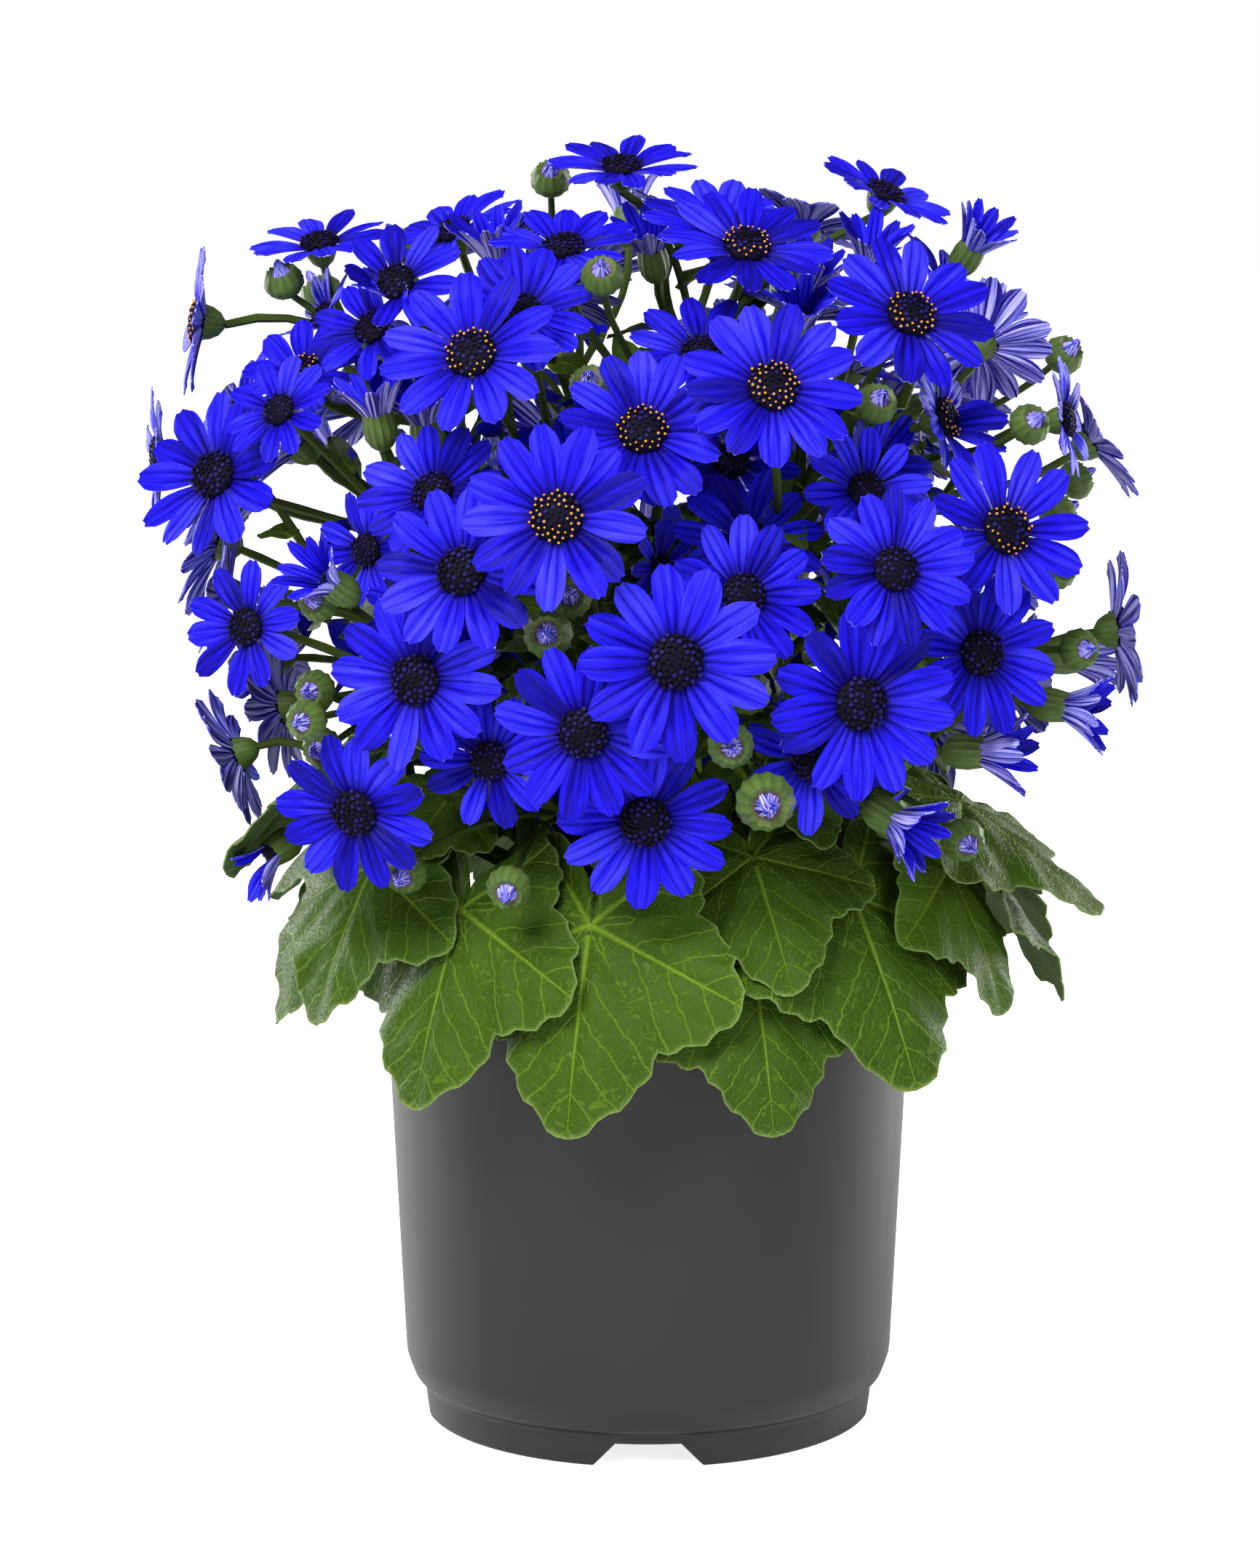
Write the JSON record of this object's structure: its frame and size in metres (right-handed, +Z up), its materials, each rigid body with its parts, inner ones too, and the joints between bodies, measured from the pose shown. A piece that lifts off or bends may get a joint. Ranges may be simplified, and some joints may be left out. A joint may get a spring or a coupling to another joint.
{
  "type": "florist cineraria",
  "caption": "Potted florist cineraria: a dome of blue daisy-like flower heads on branching sprays over lobed leaves, in a dark flared nursery pot with a notched foot.",
  "frame": {"origin": "centre of the pot's base, on the surface that the foot ring stands on", "axes": "+Z up along the pot's axis; the side that the picture shows faces -Y, and +X is to its right"},
  "size_m": [0.309, 0.2989, 0.3973],
  "materials": {
    "pot_plastic": "satin dark grey moulded plastic",
    "potting_mix": "damp crumbly dark brown potting mix",
    "stem": "soft green stem with fine hairs",
    "leaf": "matt green leaf with pale veins",
    "petals": "velvety blue petals with pale backs, dark discs and green cups"
  },
  "bodies": {
    "root": {"leaf_01": "leaf", "leaf_02": "leaf", "leaf_03": "leaf", "leaf_04": "leaf", "leaf_05": "leaf", "leaf_06": "leaf", "leaf_07": "leaf", "leaf_08": "leaf", "leaf_09": "leaf", "leaf_10": "leaf", "leaf_11": "leaf", "leaf_12": "leaf", "leaf_13": "leaf", "leaf_14": "leaf", "leaf_15": "leaf", "leaf_16": "leaf", "leaf_17": "leaf", "leaf_18": "leaf", "leaf_19": "leaf", "leaf_20": "leaf", "leaf_21": "leaf", "leaf_22": "leaf", "leaf_23": "leaf", "leaf_24": "leaf", "main_stem": "stem", "pot": "pot_plastic", "soil": "potting_mix", "spray_01": "petals", "spray_02": "petals", "spray_03": "petals", "spray_04": "petals", "spray_05": "petals", "spray_06": "petals", "spray_07": "petals", "spray_08": "petals", "spray_09": "petals", "spray_10": "petals", "spray_11": "petals", "spray_12": "petals", "spray_13": "petals", "spray_14": "petals", "spray_15": "petals", "spray_16": "petals", "spray_17": "petals", "spray_18": "petals", "spray_19": "petals", "spray_20": "petals", "spray_21": "petals", "spray_22": "petals", "spray_23": "petals", "spray_24": "petals", "spray_25": "petals", "spray_26": "petals", "spray_27": "petals", "spray_28": "petals", "spray_29": "petals", "spray_30": "petals"}
  },
  "joints": []
}
